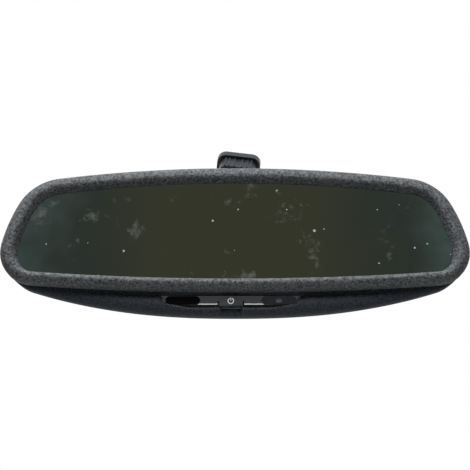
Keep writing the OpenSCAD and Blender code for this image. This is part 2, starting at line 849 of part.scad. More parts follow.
module cover_body() {
    difference() {
        union() {
            translate([0, 0, cover_top - flange_t]) linear_extrude(flange_t) plate_2d(flange_grow);
            translate([0, 0, cover_low]) linear_extrude(cover_top - cover_low - 1) hollow_2d(cover_wall);
            // Ribs down the skirt's upper end
            for (x = [-8, -5.6, -2.4, 2.4, 5.6, 8])
                translate([x - 0.4, -plate_back - gap - cover_wall - 0.7, cover_low])
                cube([0.8, 4, cover_top - cover_low - 1]);
        }
        translate([0, 0, cover_low + cover_wall]) linear_extrude(40) hollow_2d();
        translate([0, 0, cover_low - 1]) linear_extrude(10) union() {
            circle(cup_r + gap);
            translate([0, screw_y]) circle(3.6 + gap);
        }
        // The windscreen button slides in from the lower end
        translate([-channel_w / 2 - 1.6, 0, -channel_d - 0.3]) cube([channel_w + 3.2, 60, 20]);
    }
}

module foot_cover_left() {
    color("#222427") in_foot() intersection() {
        cover_body();
        translate([-60 - fit, -50, -50]) cube([60, 100, 100]);
    }
}

module foot_cover_right() {
    color("#222427") in_foot() intersection() {
        cover_body();
        translate([fit, -50, -50]) cube([60, 100, 100]);
    }
}

bezel();
front_glass();
cell_seal();
rear_glass();
bus_clips();
foam_pad();
carrier_plate();
rear_housing();
chin_panel();
glare_window();
indicator_window();
circuit_board();
glare_sensor();
indicator_led();
tact_switch();
controller_chip();
capacitor();
board_passives();
connector_header();
connector_pins();
ambient_sensor();
ambient_lens();
board_screws();
socket_bracket();
bracket_screws();
lower_ring();
housing_screws();
lower_liner();
lower_ball();
arm_rod();
arm_sleeve();
upper_ball();
ball_clips();
upper_liner();
foot_bracket();
upper_ring();
set_screw();
channel_liner();
foot_cover_left();
foot_cover_right();
power_button();
button_symbol();
switch_plunger();
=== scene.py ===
"""Looks of the interior rearview mirror: finishes, finer shapes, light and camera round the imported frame.

Pieces are drawn in millimetres in the head's own coordinates: x = 0 is its middle, y = 0 its front
glass and z = 0 the middle of the bezel, and y grows towards the back.
"""

import math

import bmesh
import bpy
from mathutils import Matrix, Vector


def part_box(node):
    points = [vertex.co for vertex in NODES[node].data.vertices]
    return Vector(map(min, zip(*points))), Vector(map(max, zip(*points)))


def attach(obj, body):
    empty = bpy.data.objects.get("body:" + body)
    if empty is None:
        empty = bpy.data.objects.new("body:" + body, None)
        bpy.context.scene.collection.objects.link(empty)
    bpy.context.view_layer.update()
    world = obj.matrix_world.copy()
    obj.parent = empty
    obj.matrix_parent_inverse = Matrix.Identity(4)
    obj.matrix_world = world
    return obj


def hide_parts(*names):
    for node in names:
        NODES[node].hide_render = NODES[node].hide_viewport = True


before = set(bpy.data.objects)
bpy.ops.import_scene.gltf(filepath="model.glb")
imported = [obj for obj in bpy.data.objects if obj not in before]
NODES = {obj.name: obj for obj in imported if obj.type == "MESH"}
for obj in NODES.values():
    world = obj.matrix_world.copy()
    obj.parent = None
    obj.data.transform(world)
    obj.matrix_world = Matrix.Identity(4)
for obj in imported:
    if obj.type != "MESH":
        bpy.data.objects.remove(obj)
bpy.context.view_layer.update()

MM = 0.001

# ---- Sizes, in millimetres, read from the frame or repeated from the part's source ----


def box_mm(node):
    low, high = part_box(node)
    return [v / MM for v in low], [v / MM for v in high]


bezel_low, bezel_high = box_mm("bezel")
HEAD_W = bezel_high[0] - bezel_low[0]
HEAD_H = bezel_high[2] - bezel_low[2]
HALF_W = HEAD_W / 2
HALF_H = HEAD_H / 2
BEZEL_PROUD = 4.6
HEAD_AT = Vector(
    (
        (bezel_low[0] + bezel_high[0]) / 2,
        bezel_low[1] + BEZEL_PROUD,
        (bezel_low[2] + bezel_high[2]) / 2,
    )
)
TOP_CROWN_R = 785
LOW_CROWN_R = 1600
SIDE_R = 86
TOP_CORNER_R = 29
LOW_CORNER_R = 18.5
SHOULDER_IN = 5.6
BEZEL_W = 8.5
RING_END_MORE = 0.16
RING_TOP_MORE = 0.05
RING_LOW_LESS = 0.2

SPLIT_Y = 6
DOME_Y = 9
WALL = 2.2
DOME_MID = 25
DOME_END = 10
CHIN_DROP = 13
CHIN_BULGE = 2.2
CHIN_HALF = HALF_W - 6
CHIN_BACK = 8

CONTROL_X = -2.3
PANEL_TOP = -HALF_H - 1.4
PANEL_H = 7.4
PANEL_HALF = 39
PANEL_LOW = PANEL_TOP - PANEL_H
PANEL_FRONT = SPLIT_Y - 0.3
PANEL_T = 1.5
CUT_FRONT = SPLIT_Y - 4
WINDOW_X = 26.5
WINDOW_W = 19
WINDOW_H = 4.7
WINDOW_Z = PANEL_TOP - 0.4 - WINDOW_H / 2
BUTTON_W = 13.4
BUTTON_H = 5.2
BUTTON_Z = PANEL_TOP - 1.3 - BUTTON_H / 2
BUTTON_FRONT = 3
FLANGE_Y = CHIN_BACK + 0.3

ARM_LEAN = math.radians(38)
SOCKET_Y = DOME_Y + DOME_MID - 5
SOCKET_Z = HALF_H - 21
CUP_R = 11.8

# ---- Materials ----


def linear(hex_colour):
    """An sRGB hex colour as the linear RGBA that the shaders take."""
    values = [int(hex_colour[i : i + 2], 16) / 255 for i in (1, 3, 5)]
    return [v / 12.92 if v <= 0.04045 else ((v + 0.055) / 1.055) ** 2.4 for v in values] + [1]


def material(name):
    made = bpy.data.materials.new(name)
    made.use_nodes = True
    return made, made.node_tree, made.node_tree.nodes["Principled BSDF"]


def add(tree, kind, settings=None, **links):
    """Adds a shader node. settings are its properties and plain inputs, links its linked inputs."""
    made = tree.nodes.new("ShaderNode" + kind)
    for key, value in (settings or {}).items():
        if hasattr(made, key):
            setattr(made, key, value)
        else:
            made.inputs[key].default_value = value
    for key, socket in links.items():
        tree.links.new(socket, made.inputs[key.replace("_", " ")])
    return made


def link(tree, socket, shader, name):
    tree.links.new(socket, shader.inputs[name])


def ramp(tree, factor, stops):
    """A colour ramp through [position, sRGB hex] stops."""
    made = tree.nodes.new("ShaderNodeValToRGB")
    elements = made.color_ramp.elements
    while len(elements) < len(stops):
        elements.new(0.5)
    for element, (place, colour) in zip(elements, stops):
        element.position = place
        element.color = linear(colour)
    tree.links.new(factor, made.inputs["Fac"])
    return made.outputs["Color"]


def bump(tree, shader, height, strength, distance_mm):
    made = add(tree, "Bump", {"Strength": strength, "Distance": distance_mm * MM}, Height=height)
    link(tree, made.outputs["Normal"], shader, "Normal")


def place(tree):
    return tree.nodes.new("ShaderNodeTexCoord").outputs["Object"]


def grained_abs(name, low, high, dust):
    """Charcoal ABS moulded in a spark-eroded grain: it scatters light softly and holds pale dust."""
    made, tree, shader = material(name)
    # Spark-eroded grain is about 0.4 mm; it is drawn three times as coarse, so that it shows
    grain_mm = 1.2
    at = place(tree)
    grain = add(tree, "TexVoronoi", {"Scale": 1 / (grain_mm * MM)}, Vector=at)
    fine = add(tree, "TexNoise", {"Scale": 1 / (grain_mm * MM), "Detail": 3, "Roughness": 0.7}, Vector=at)
    cloud = add(tree, "TexNoise", {"Scale": 1 / (2.4 * MM), "Detail": 3, "Roughness": 0.6}, Vector=at)
    # Dust settles on what faces up
    facing = add(tree, "SeparateXYZ", Vector=add(tree, "NewGeometry").outputs["Normal"])
    up = add(tree, "MapRange", {"From Min": -0.1, "From Max": 0.9}, Value=facing.outputs["Z"])
    span = {"From Min": 0.4, "From Max": 0.7, "To Max": 0.6}
    speck = add(tree, "MapRange", span, Value=cloud.outputs["Fac"])
    dusty = add(tree, "Math", {"operation": "MULTIPLY"})
    tree.links.new(up.outputs["Result"], dusty.inputs[0])
    tree.links.new(speck.outputs["Result"], dusty.inputs[1])
    pits = add(tree, "MapRange", {"From Min": 0.36, "From Max": 0.66}, Value=fine.outputs["Fac"])
    base = ramp(tree, pits.outputs["Result"], [(0, low), (1, high)])
    mixed = add(tree, "Mix", {"data_type": "RGBA"})
    tree.links.new(dusty.outputs["Value"], mixed.inputs["Factor"])
    tree.links.new(base, mixed.inputs["A"])
    mixed.inputs["B"].default_value = linear(dust)
    link(tree, mixed.outputs["Result"], shader, "Base Color")
    shader.inputs["Roughness"].default_value = 0.6
    shader.inputs["Specular IOR Level"].default_value = 0.12
    relief = add(tree, "Math", {"operation": "ADD"})
    tree.links.new(grain.outputs["Distance"], relief.inputs[0])
    tree.links.new(fine.outputs["Fac"], relief.inputs[1])
    bump(tree, shader, relief.outputs["Value"], 0.7, 0.3)
    return made


def dimmed_glass():
    """Electrochromic mirror glass, dimmed: a dark olive reflection under dust specks and smears."""
    made, tree, shader = material("dimmed_glass")
    at = place(tree)
    smear = add(tree, "TexNoise", {"Scale": 1 / (34 * MM), "Detail": 4, "Roughness": 0.6}, Vector=at)
    across = add(tree, "SeparateXYZ", Vector=at)
    # The smears gather towards the two ends
    end = add(tree, "Math", {"operation": "ABSOLUTE"})
    middle = add(tree, "Math", {"operation": "SUBTRACT"})
    tree.links.new(across.outputs["X"], middle.inputs[0])
    middle.inputs[1].default_value = HEAD_AT.x * MM
    tree.links.new(middle.outputs["Value"], end.inputs[0])
    reach = add(tree, "MapRange", {"From Min": 0.045, "From Max": 0.125}, Value=end.outputs["Value"])
    film = add(tree, "Math", {"operation": "MULTIPLY"})
    tree.links.new(reach.outputs["Result"], film.inputs[0])
    tree.links.new(smear.outputs["Fac"], film.inputs[1])
    tints = [(0, "#34362a"), (0.25, "#2a302b"), (0.6, "#36423f"), (0.9, "#566864")]
    tint = ramp(tree, film.outputs["Value"], tints)
    link(tree, tint, shader, "Base Color")
    shader.inputs["Metallic"].default_value = 1
    rough = add(tree, "MapRange", {"To Min": 0.06, "To Max": 0.3}, Value=film.outputs["Value"])
    link(tree, rough.outputs["Result"], shader, "Roughness")
    # Dust specks sit about 7 mm apart: only some cells hold one, and each has its own size
    speck = add(tree, "TexVoronoi", {"Scale": 1 / (7 * MM)}, Vector=at)
    pick = add(tree, "SeparateColor", Color=speck.outputs["Color"])
    span = {"From Min": 0.45, "From Max": 1, "To Min": 0, "To Max": 0.13}
    grown = add(tree, "MapRange", span, Value=pick.outputs["Red"])
    inside = add(tree, "Math", {"operation": "LESS_THAN"})
    tree.links.new(speck.outputs["Distance"], inside.inputs[0])
    tree.links.new(grown.outputs["Result"], inside.inputs[1])
    faint = add(tree, "MapRange", {"To Min": 0.15, "To Max": 0.8}, Value=pick.outputs["Green"])
    spot = add(tree, "Math", {"operation": "MULTIPLY"})
    tree.links.new(inside.outputs["Value"], spot.inputs[0])
    tree.links.new(faint.outputs["Result"], spot.inputs[1])
    # Between them lies a thin powder that gathers in patches
    patch = add(tree, "TexNoise", {"Scale": 1 / (26 * MM), "Detail": 6, "Roughness": 0.75}, Vector=at)
    span = {"From Min": 0.58, "From Max": 0.85, "To Max": 0.35}
    powder = add(tree, "MapRange", span, Value=patch.outputs["Fac"])
    cover = add(tree, "Math", {"operation": "MAXIMUM"})
    tree.links.new(spot.outputs["Value"], cover.inputs[0])
    tree.links.new(powder.outputs["Result"], cover.inputs[1])
    dust = add(tree, "BsdfDiffuse", {"Color": linear("#c4cac2")})
    over = add(tree, "MixShader")
    tree.links.new(cover.outputs["Value"], over.inputs["Fac"])
    tree.links.new(shader.outputs["BSDF"], over.inputs[1])
    tree.links.new(dust.outputs["BSDF"], over.inputs[2])
    tree.links.new(over.outputs["Shader"], tree.nodes["Material Output"].inputs["Surface"])
    return made


def plastic(name, colour, roughness, grain_mm=0.4, relief=0.15, mottle="", shine=0.2):
    """Moulded plastic with a slight mottle and a fine grain of its own."""
    made, tree, shader = material(name)
    at = place(tree)
    cloud = add(tree, "TexNoise", {"Scale": 1 / (6 * MM), "Detail": 4}, Vector=at)
    base = ramp(tree, cloud.outputs["Fac"], [(0.3, colour), (0.75, mottle or colour)])
    link(tree, base, shader, "Base Color")
    span = {"To Min": roughness * 0.9, "To Max": min(1, roughness * 1.15)}
    spread = add(tree, "MapRange", span, Value=cloud.outputs["Fac"])
    link(tree, spread.outputs["Result"], shader, "Roughness")
    shader.inputs["Specular IOR Level"].default_value = shine
    grain = add(tree, "TexNoise", {"Scale": 1 / (grain_mm * MM), "Detail": 2}, Vector=at)
    bump(tree, shader, grain.outputs["Fac"], relief, 0.1)
    return made


def metal(name, colour, roughness, relief=0.2, grain_mm=0.5, stretch=(1, 1, 1)):
    """Bare metal; stretch draws its grain out along an axis, as turning or rolling does."""
    made, tree, shader = material(name)
    at = add(tree, "Mapping", {"Scale": stretch}, Vector=place(tree)).outputs["Vector"]
    grain = add(tree, "TexNoise", {"Scale": 1 / (grain_mm * MM), "Detail": 3}, Vector=at)
    cloud = add(tree, "TexNoise", {"Scale": 1 / (7 * MM), "Detail": 3}, Vector=place(tree))
    darker = "#" + "".join(f"{int(int(colour[i : i + 2], 16) * 0.8):02x}" for i in (1, 3, 5))
    link(tree, ramp(tree, cloud.outputs["Fac"], [(0.3, darker), (0.7, colour)]), shader, "Base Color")
    shader.inputs["Metallic"].default_value = 1
    span = {"To Min": roughness * 0.8, "To Max": min(1, roughness * 1.3)}
    spread = add(tree, "MapRange", span, Value=grain.outputs["Fac"])
    link(tree, spread.outputs["Result"], shader, "Roughness")
    bump(tree, shader, grain.outputs["Fac"], relief, 0.05)
    return made


def solder_mask():
    """Green solder mask over copper tracks: the tracks stand up a little and read lighter."""
    made, tree, shader = material("solder_mask")
    at = place(tree)
    tracks = add(tree, "TexBrick", {"Scale": 1 / (14 * MM), "Mortar Size": 0.03}, Vector=at)
    tracks.inputs["Color1"].default_value = linear("#1c5135")
    tracks.inputs["Color2"].default_value = linear("#1a4c32")
    tracks.inputs["Mortar"].default_value = linear("#2f7a50")
    link(tree, tracks.outputs["Color"], shader, "Base Color")
    shader.inputs["Roughness"].default_value = 0.35
    bump(tree, shader, tracks.outputs["Fac"], 0.2, 0.05)
    return made


BEZEL_ABS = grained_abs("grained_abs_bezel", "#242628", "#64676a", "#85888a")
HOUSING_ABS = grained_abs("grained_abs_housing", "#181b20", "#333941", "#50545a")
GLASS = dimmed_glass()
# Silvered behind and hidden by the front glass: plain and bright
REAR_GLASS = metal("silvered_rear_glass", "#9aa19f", 0.08, 0.02)
# Cured epoxy bead: dark and slightly waxy
SEAL = plastic("epoxy_seal", "#1c1f1e", 0.5)
# Tinned bronze strip: a warm soft shine
TINNED = metal("tinned_spring_strip", "#b9a878", 0.3)
# Closed-cell foam: grey, dull and a little coarse
FOAM = plastic("foam_tape", "#4c4f51", 0.9, 0.7, 0.6, "#5c5f61")
# Glass-filled nylon: dull black with a faint mottle of fibres
INNER = plastic("glass_filled_nylon", "#232527", 0.55, 0.5, 0.2, "#2c2e31")
# Moulded against a polished tool: it shows the light as sharp streaks
PIANO = plastic("piano_black_abs", "#10131a", 0.14, 1.5, 0.02, "#141823", 0.5)
# Near black all through, so it shows only the dimmest of reflections
SMOKED = plastic("smoked_acrylic", "#040405", 0.3, 2, 0.0, "#050506", 0.02)
# Tinted through and dark; the cold blue where it mottles is a painted reflection of the sky
TINTED_PAINTED_SKY = plastic("tinted_acrylic_painted_sky", "#0c1016", 0.12, 2, 0.0, "#1b2533", 0.2)
MASK = solder_mask()
# Moulded chip cases: fine dull black
EPOXY = plastic("chip_epoxy", "#18191b", 0.55, 0.3, 0.2)
# Diffusing epoxy: pale and milky
LAMP = plastic("lamp_epoxy", "#b4bfb4", 0.2)
# Pressed steel can: even grey shine
CAN = metal("switch_can", "#8f9498", 0.3)
# Shrink film: dark blue and slick
SLEEVE_FILM = plastic("shrink_film", "#2c3a4c", 0.3)
# Solder-dipped ends: warm grey, slightly dull
TIN = metal("chip_tin", "#b7ad98", 0.4)
# Frosted block behind tinted acrylic: a dim grey patch
FROSTED = plastic("frosted_light_guide", "#5d646a", 0.5)
# Polished acrylic: pale and glossy
PIPE = plastic("clear_acrylic", "#c3cac8", 0.08, 2, 0.0)
# Zinc plating and blackened steel: a bright screw and a dark one
ZINC_SCREW = metal("zinc_plated_screw", "#b4b8bb", 0.3)
BLACK_SCREW = metal("blackened_screw", "#4a4e52", 0.42)
# Die-cast zinc, as it leaves the tool: matt grey with a soft grain
CAST = metal("die_cast_zinc", "#83888c", 0.48, 0.5, 0.8)
# Phosphated steel: dark matt grey
RING = metal("phosphated_steel", "#53575a", 0.5, 0.3, 0.4)
# Unfilled nylon: cream and slightly waxy
NYLON = plastic("natural_nylon", "#d9d5c8", 0.45, 0.8, 0.1, "#cfcabb")
# Ground steel: bright, with a fine even grain
STEEL = metal("ground_steel", "#a7abad", 0.22, 0.15, 0.3)
# Rolled strip: its grain runs along the strip
SPRING = metal("spring_strip", "#bcc0c2", 0.25, 0.2, 0.4, (1, 6, 1))
# Tool-textured nylon: satin black
SATIN = plastic("satin_black_nylon", "#1a1c1f", 0.5, 0.4, 0.25, "#25282c")
# The foot's cover has a finer grain than the head, so it shines a little more
COVER = plastic("foot_cover_abs", "#15181e", 0.32, 0.35, 0.12, "#252a31", 0.35)
# Rubbery moulded keycap: coarse grain and hardly any shine
KEY = plastic("button_keycap", "#2c3034", 0.6, 0.8, 0.5, "#43484d", 0.15)
# Opaque white ink and white acetal
SIGN = plastic("printed_white", "#f4f8f8", 0.5)
ACETAL = plastic("white_acetal", "#dcdedc", 0.4)

for node, finish in {
    "bezel": BEZEL_ABS, "rear_housing": HOUSING_ABS, "front_glass": GLASS, "rear_glass": REAR_GLASS,
    "cell_seal": SEAL, "bus_clips": TINNED, "foam_pad": FOAM, "carrier_plate": INNER,
    "chin_panel": PIANO, "glare_window": SMOKED, "indicator_window": TINTED_PAINTED_SKY, "circuit_board": MASK,
    "glare_sensor": EPOXY, "indicator_led": LAMP, "tact_switch": CAN, "controller_chip": EPOXY,
    "capacitor": SLEEVE_FILM, "board_passives": TIN, "connector_header": INNER,
    "connector_pins": TINNED, "ambient_sensor": EPOXY, "ambient_lens": PIPE,
    "board_screws": ZINC_SCREW, "bracket_screws": ZINC_SCREW, "housing_screws": BLACK_SCREW,
    "socket_bracket": CAST, "foot_bracket": CAST, "lower_ring": RING, "upper_ring": RING,
    "ball_clips": RING, "lower_liner": NYLON, "upper_liner": NYLON, "lower_ball": STEEL,
    "upper_ball": STEEL, "arm_rod": STEEL, "arm_sleeve": SATIN, "set_screw": BLACK_SCREW,
    "channel_liner": SPRING, "foot_cover_left": COVER, "foot_cover_right": COVER,
    "power_button": KEY, "button_symbol": SIGN, "switch_plunger": ACETAL,
}.items():
    NODES[node].data.materials.clear()
    NODES[node].data.materials.append(finish)


# ---- Shapes ----


def meet(a, ra, b, rb):
    """The inner meeting point of a circle round a and one round b."""
    d = (b - a).length
    e = (b - a) / d
    t = (ra * ra - rb * rb + d * d) / (2 * d)
    h = math.sqrt(ra * ra - t * t)
    return a + e * t + Vector((e.y, -e.x)) * h


def bearing(start, end):
    return math.atan2(end.y - start.y, end.x - start.x)


def head_outline(steps=(26, 22, 14, 26, 26)):
    """The bezel's outline as (point, outward normal), clockwise from the top middle."""
    x = HALF_W - SHOULDER_IN - TOP_CORNER_R
    top = Vector((x, HALF_H - TOP_CROWN_R + math.sqrt((TOP_CROWN_R - TOP_CORNER_R) ** 2 - x * x)))
    x = HALF_W - LOW_CORNER_R
    low = Vector((x, -HALF_H + LOW_CROWN_R - math.sqrt((LOW_CROWN_R - LOW_CORNER_R) ** 2 - x * x)))
    crown_top = Vector((0, HALF_H - TOP_CROWN_R))
    crown_low = Vector((0, -HALF_H + LOW_CROWN_R))
    side = meet(top, SIDE_R - TOP_CORNER_R, low, SIDE_R - LOW_CORNER_R)
    turns = [
        math.pi / 2, bearing(crown_top, top), bearing(side, top), bearing(side, low),
        bearing(crown_low, low), -math.pi / 2,
    ]
    arcs = [
        (crown_top, TOP_CROWN_R), (top, TOP_CORNER_R), (side, SIDE_R), (low, LOW_CORNER_R),
        (crown_low, LOW_CROWN_R),
    ]
    half = []
    for (centre, radius), start, end, count in zip(arcs, turns, turns[1:], steps):
        for k in range(count):
            a = start + (end - start) * k / count
            normal = Vector((math.cos(a), math.sin(a)))
            half.append((centre + normal * radius, normal))
    mirrored = [(Vector((-p.x, p.y)), Vector((-n.x, n.y))) for p, n in reversed(half[1:])]
    return half + [(Vector((0, -HALF_H)), Vector((0, -1)))] + mirrored


OUTLINE = head_outline()


def inset_share(n):
    """The bezel ring is wider at its ends and along its top than along its bottom."""
    return 1 + RING_END_MORE * n.x**2 + (RING_TOP_MORE if n.y > 0 else -RING_LOW_LESS) * n.y**2


def chin_at(p, n):
    return CHIN_DROP * max(0, 1 - abs(p.x / CHIN_HALF) ** 2.6) * max(0, -n.y) ** 1.5


def ring(inset, y, chin=0, bulge=0):
    points = []
    for p, n in OUTLINE:
        q = p - n * inset * inset_share(n)
        drop = chin_at(p, n)
        points.append((q.x, y - bulge * (drop / CHIN_DROP) ** 2, q.y - chin * drop))
    return points


def dome_depth(x):
    return DOME_END + (DOME_MID - DOME_END) * (1 - (x / HALF_W) ** 2)


def dome_ring(inset, y, cut, phi):
    spine_z = 4
    points = []
    for p, n in OUTLINE:
        q = p - n * inset * inset_share(n)
        low = max(0, -n.y)
        e = 2 / (2.2 + low)
        g = math.cos(phi) ** e
        s = math.sin(phi) ** e
        spine_x = max(-HALF_W + 40, min(HALF_W - 40, q.x * 0.86))
        x = spine_x + (q.x - spine_x) * g
        z0 = q.y - chin_at(p, n)
        points.append((x, y + (dome_depth(x) - cut) * s, spine_z + (z0 - spine_z) * g))
    return points


def bridge(bm, rings, closed=False, cap=False):
    """Joins rings of points with quads. cap closes each end with a strip across it."""
    loops = [[bm.verts.new(p) for p in r] for r in rings]
    pairs = list(zip(loops, loops[1:] + loops[:1])) if closed else list(zip(loops, loops[1:]))
    n = len(loops[0])
    for a, b in pairs:
        for i in range(n):
            j = (i + 1) % n
            bm.faces.new((a[i], a[j], b[j], b[i]))
    if cap:
        for loop, flip in ((loops[0], True), (loops[-1], False)):
            strip_cap(bm, loop, flip)
    return loops


def strip_cap(bm, loop, flip):
    n = len(loop)
    q = n // 4
    for i in range(n // 2):
        corners = [loop[(q - i) % n], loop[(q + i) % n], loop[(q + i + 1) % n], loop[(q - i - 1) % n]]
        corners = list(dict.fromkeys(corners))
        if flip:
            corners.reverse()
        if len(corners) > 2:
            bm.faces.new(corners)


def finish_piece(bm, name, finish, body, replaces=(), at=HEAD_AT, turn=None, smooth=True):
    """Turns a bmesh drawn in millimetres into a piece that rides on a body."""
    bmesh.ops.remove_doubles(bm, verts=bm.verts, dist=0.0005)
    bmesh.ops.recalc_face_normals(bm, faces=bm.faces)
    move = Matrix.Translation(at)
    bmesh.ops.transform(bm, matrix=Matrix.Scale(MM, 4) @ move @ (turn or Matrix.Identity(4)), verts=bm.verts)
    mesh = bpy.data.meshes.new(name)
    bm.to_mesh(mesh)
    bm.free()
    mesh.materials.append(finish)
    piece = bpy.data.objects.new(name, mesh)
    bpy.context.scene.collection.objects.link(piece)
    if smooth:
        mesh.shade_smooth()
    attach(piece, body)
    if replaces:
        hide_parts(*replaces)
    return piece


def modify(piece, kind, **settings):
    """Adds a modifier and applies it to the mesh."""
    made = piece.modifiers.new(kind.lower(), kind)
    for key, value in settings.items():
        setattr(made, key, value)
    bpy.context.view_layer.update()
    shaped = piece.evaluated_get(bpy.context.evaluated_depsgraph_get())
    mesh = bpy.data.meshes.new_from_object(shaped)
    piece.modifiers.clear()
    piece.data = mesh


def cut(piece, cutters):
    """Cuts every cutter out of the piece, and drops the cutters."""
    group = bpy.data.collections.new("cutters")
    for c in cutters:
        group.objects.link(c)
    bpy.context.scene.collection.children.link(group)
    modify(
        piece, "BOOLEAN", operation="DIFFERENCE", operand_type="COLLECTION", collection=group,
        solver="EXACT",
    )
    for c in cutters:
        bpy.data.objects.remove(c)
    bpy.data.collections.remove(group)


def cutter(bm, at=HEAD_AT, turn=None):
    bmesh.ops.recalc_face_normals(bm, faces=bm.faces)
    matrix = Matrix.Scale(MM, 4) @ Matrix.Translation(at) @ (turn or Matrix.Identity(4))
    bmesh.ops.transform(bm, matrix=matrix, verts=bm.verts)
    mesh = bpy.data.meshes.new("cutter")
    bm.to_mesh(mesh)
    bm.free()
    return bpy.data.objects.new("cutter", mesh)


def prism(bm, points, y0, y1):
    """A straight-sided solid through a loop of (x, z) points, from depth y0 to y1."""
    front = [bm.verts.new((x, y0, z)) for x, z in points]
    back = [bm.verts.new((x, y1, z)) for x, z in points]
    bm.faces.new(front)
    bm.faces.new(list(reversed(back)))
    n = len(points)
    for i in range(n):
        j = (i + 1) % n
        bm.faces.new((front[j], front[i], back[i], back[j]))


def circle_points(r, count=48, x=0, z=0):
    return [
        (x + r * math.cos(2 * math.pi * k / count), z + r * math.sin(2 * math.pi * k / count))
        for k in range(count)
    ]


def oval_points(w, h, grow=0, x=0, z=0, count=20):
    """A slot shape: two half circles and the straight runs between them."""
    r = h / 2
    points = []
    for side, start in ((1, -90), (-1, 90)):
        for k in range(count + 1):
            a = math.radians(start + 180 * k / count)
            points.append((x + side * (w / 2 - r) + (r + grow) * math.cos(a), z + (r + grow) * math.sin(a)))
    return points


def rounded(points, radius, steps=5):
    """Rounds the corners of a closed run of (x, z) points."""
    out = []
    n = len(points)
    for i in range(n):
        p0, p1, p2 = (Vector(points[(i + k) % n]) for k in (-1, 0, 1))
        a, b = (p0 - p1), (p2 - p1)
        reach = min(radius, a.length * 0.45, b.length * 0.45)
        start, end = p1 + a.normalized() * reach, p1 + b.normalized() * reach
        for k in range(steps + 1):
            t = k / steps
            out.append(tuple(start * (1 - t) ** 2 + p1 * 2 * t * (1 - t) + end * t * t))
    return out


# ---- Bezel: a rolled ring with a soft crown and a fine lip at the glass ----


def bezel():
    section = [
        (0.9, SPLIT_Y), (0.35, SPLIT_Y - 0.12), (0.05, SPLIT_Y - 0.5), (0, SPLIT_Y - 1.2), (0, 1.6),
        (0.08, 0.4), (0.35, -0.8), (0.85, -1.9), (1.6, -2.9), (2.5, -3.75), (3.5, -4.3), (4.5, -4.55),
        (5.4, -4.6), (6.1, -4.35), (6.7, -3.85), (7.2, -3.1), (7.65, -2.2), (8, -1.4), (8.3, -0.8),
        (BEZEL_W - 0.03, -0.45), (BEZEL_W, -0.2), (BEZEL_W, 0), (6.5, 0), (6.4, 0.1), (6.4, 6.6),
        (4.8, 6.6), (4.8, -1.4), (2.1, -1.4), (2.1, SPLIT_Y),
    ]
    bm = bmesh.new()
    bridge(bm, [ring(d, y) for d, y in section], closed=True)
    piece = finish_piece(bm, "bezel_ring", BEZEL_ABS, "head", ["bezel"])
    return piece


bezel()


# ---- Rear housing: a domed shell with the chin, its openings and its screw wells ----


def along_arm(x, t, n):
    """A point near the lower ball in head coordinates: t along the arm, n across it upwards."""
    return (
        x,
        SOCKET_Y + t * math.cos(ARM_LEAN) - n * math.sin(ARM_LEAN),
        SOCKET_Z + t * math.sin(ARM_LEAN) + n * math.cos(ARM_LEAN),
    )


def arm_tube(bm, r, start, end, count=72):
    loops = []
    for t in (start, end):
        loops.append([
            bm.verts.new(along_arm(r * math.cos(a), t, r * math.sin(a)))
            for a in (2 * math.pi * k / count for k in range(count))
        ])
    a, b = loops
    for i in range(count):
        j = (i + 1) % count
        bm.faces.new((a[i], a[j], b[j], b[i]))
    bm.faces.new(list(reversed(a)))
    bm.faces.new(b)


def panel_points(grow=0):
    corners = [
        (-PANEL_HALF - grow, PANEL_TOP + grow), (PANEL_HALF + grow, PANEL_TOP + grow),
        (PANEL_HALF - 3 + grow, PANEL_LOW + 2.4 - grow), (PANEL_HALF - 16 + grow, PANEL_LOW - grow),
        (-PANEL_HALF + 16 - grow, PANEL_LOW - grow), (-PANEL_HALF + 3 - grow, PANEL_LOW + 2.4 - grow),
    ]
    return [(x + CONTROL_X, z) for x, z in rounded(corners, 1.2 + grow)]


def button_points(grow=0):
    """The key's face: a flat bottom, short sides and an arched top."""
    arch = BUTTON_W * 0.9
    half = BUTTON_W / 2 + grow
    low = BUTTON_Z - BUTTON_H / 2 - grow
    centre = BUTTON_Z + BUTTON_H / 2 - arch
    points = [(-half, low), (half, low)]
    edge = math.acos(half / (arch + grow))
    for k in range(25):
        a = edge + (math.pi - 2 * edge) * k / 24
        points.append(((arch + grow) * math.cos(a), centre + (arch + grow) * math.sin(a)))
    return [(x + CONTROL_X, z) for x, z in points]


HOUSE_SCREW_X = HALF_W - 42
HOUSE_SCREW_Z = 3
HOUSE_BOSS_Y = DOME_Y + 0.985 * dome_depth(HOUSE_SCREW_X) - WALL / 2
HOUSE_SEAT_Y = HOUSE_BOSS_Y - 5
PORT_X = 38
PORT_Z = -HALF_H + 21
PORT_W = 18.4
PORT_H = 9.4
AMBIENT_X = -40


